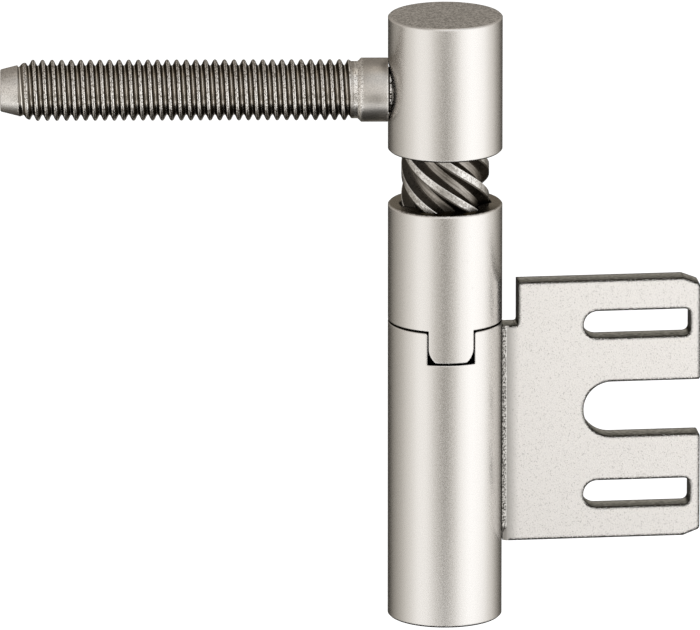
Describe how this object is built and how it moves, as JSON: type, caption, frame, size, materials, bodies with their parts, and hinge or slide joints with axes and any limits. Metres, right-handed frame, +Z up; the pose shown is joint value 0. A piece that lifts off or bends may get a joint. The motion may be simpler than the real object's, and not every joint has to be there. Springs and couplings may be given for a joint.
{
  "type": "rising drill-in hinge",
  "caption": "Barrel hinge that lifts the door as it opens: slotted frame plate, keyed nut sleeve, steep left-hand spindle and a threaded stud that is drilled into the door edge.",
  "frame": {"origin": "centre of the frame knuckle's bottom face, on the hinge axis", "axes": "+Z up along the hinge axis, +X from the hinge axis along the frame plate, -Y the face with the key tab"},
  "size_m": [0.0917, 0.0171, 0.081],
  "materials": {
    "satin_nickel": "satin nickel plate on turned steel",
    "plated_sheet": "matt tumbled nickel plate on punched sheet, darker punched edges",
    "plated_weld": "rough weld bead under nickel plate",
    "rolled_thread_steel": "rolled thread, dull warm steel",
    "bare_spindle_steel": "bare formed steel with mottled bright crests and dark flanks",
    "spring_steel": "dark oiled spring steel",
    "bush_plastic": "natural moulded bearing plastic"
  },
  "bodies": {
    "frame_part": {"frame_knuckle": "satin_nickel", "frame_plate": "plated_sheet", "weld_seam": "plated_weld", "nut_sleeve": "satin_nickel"},
    "riser": {"guide_bush": "bush_plastic"},
    "door_part": {"door_knuckle": "satin_nickel", "drill_in_stud": "rolled_thread_steel", "rising_spindle": "bare_spindle_steel", "retaining_ring": "spring_steel"}
  },
  "joints": [
    {"name": "rise", "type": "slide", "parent": "frame_part", "child": "riser", "axis": [0, 0, 1], "range_m": [-0.0065, 0.0057]},
    {"name": "swing", "type": "hinge", "parent": "riser", "child": "door_part", "pos_m": [0, 0, 0.063], "axis": [0, 0, 1], "range_deg": [-84, 96]}
  ],
  "couplings": [
    {"joint": "rise", "follows": "swing", "m_per_rad": -0.0038197}
  ]
}
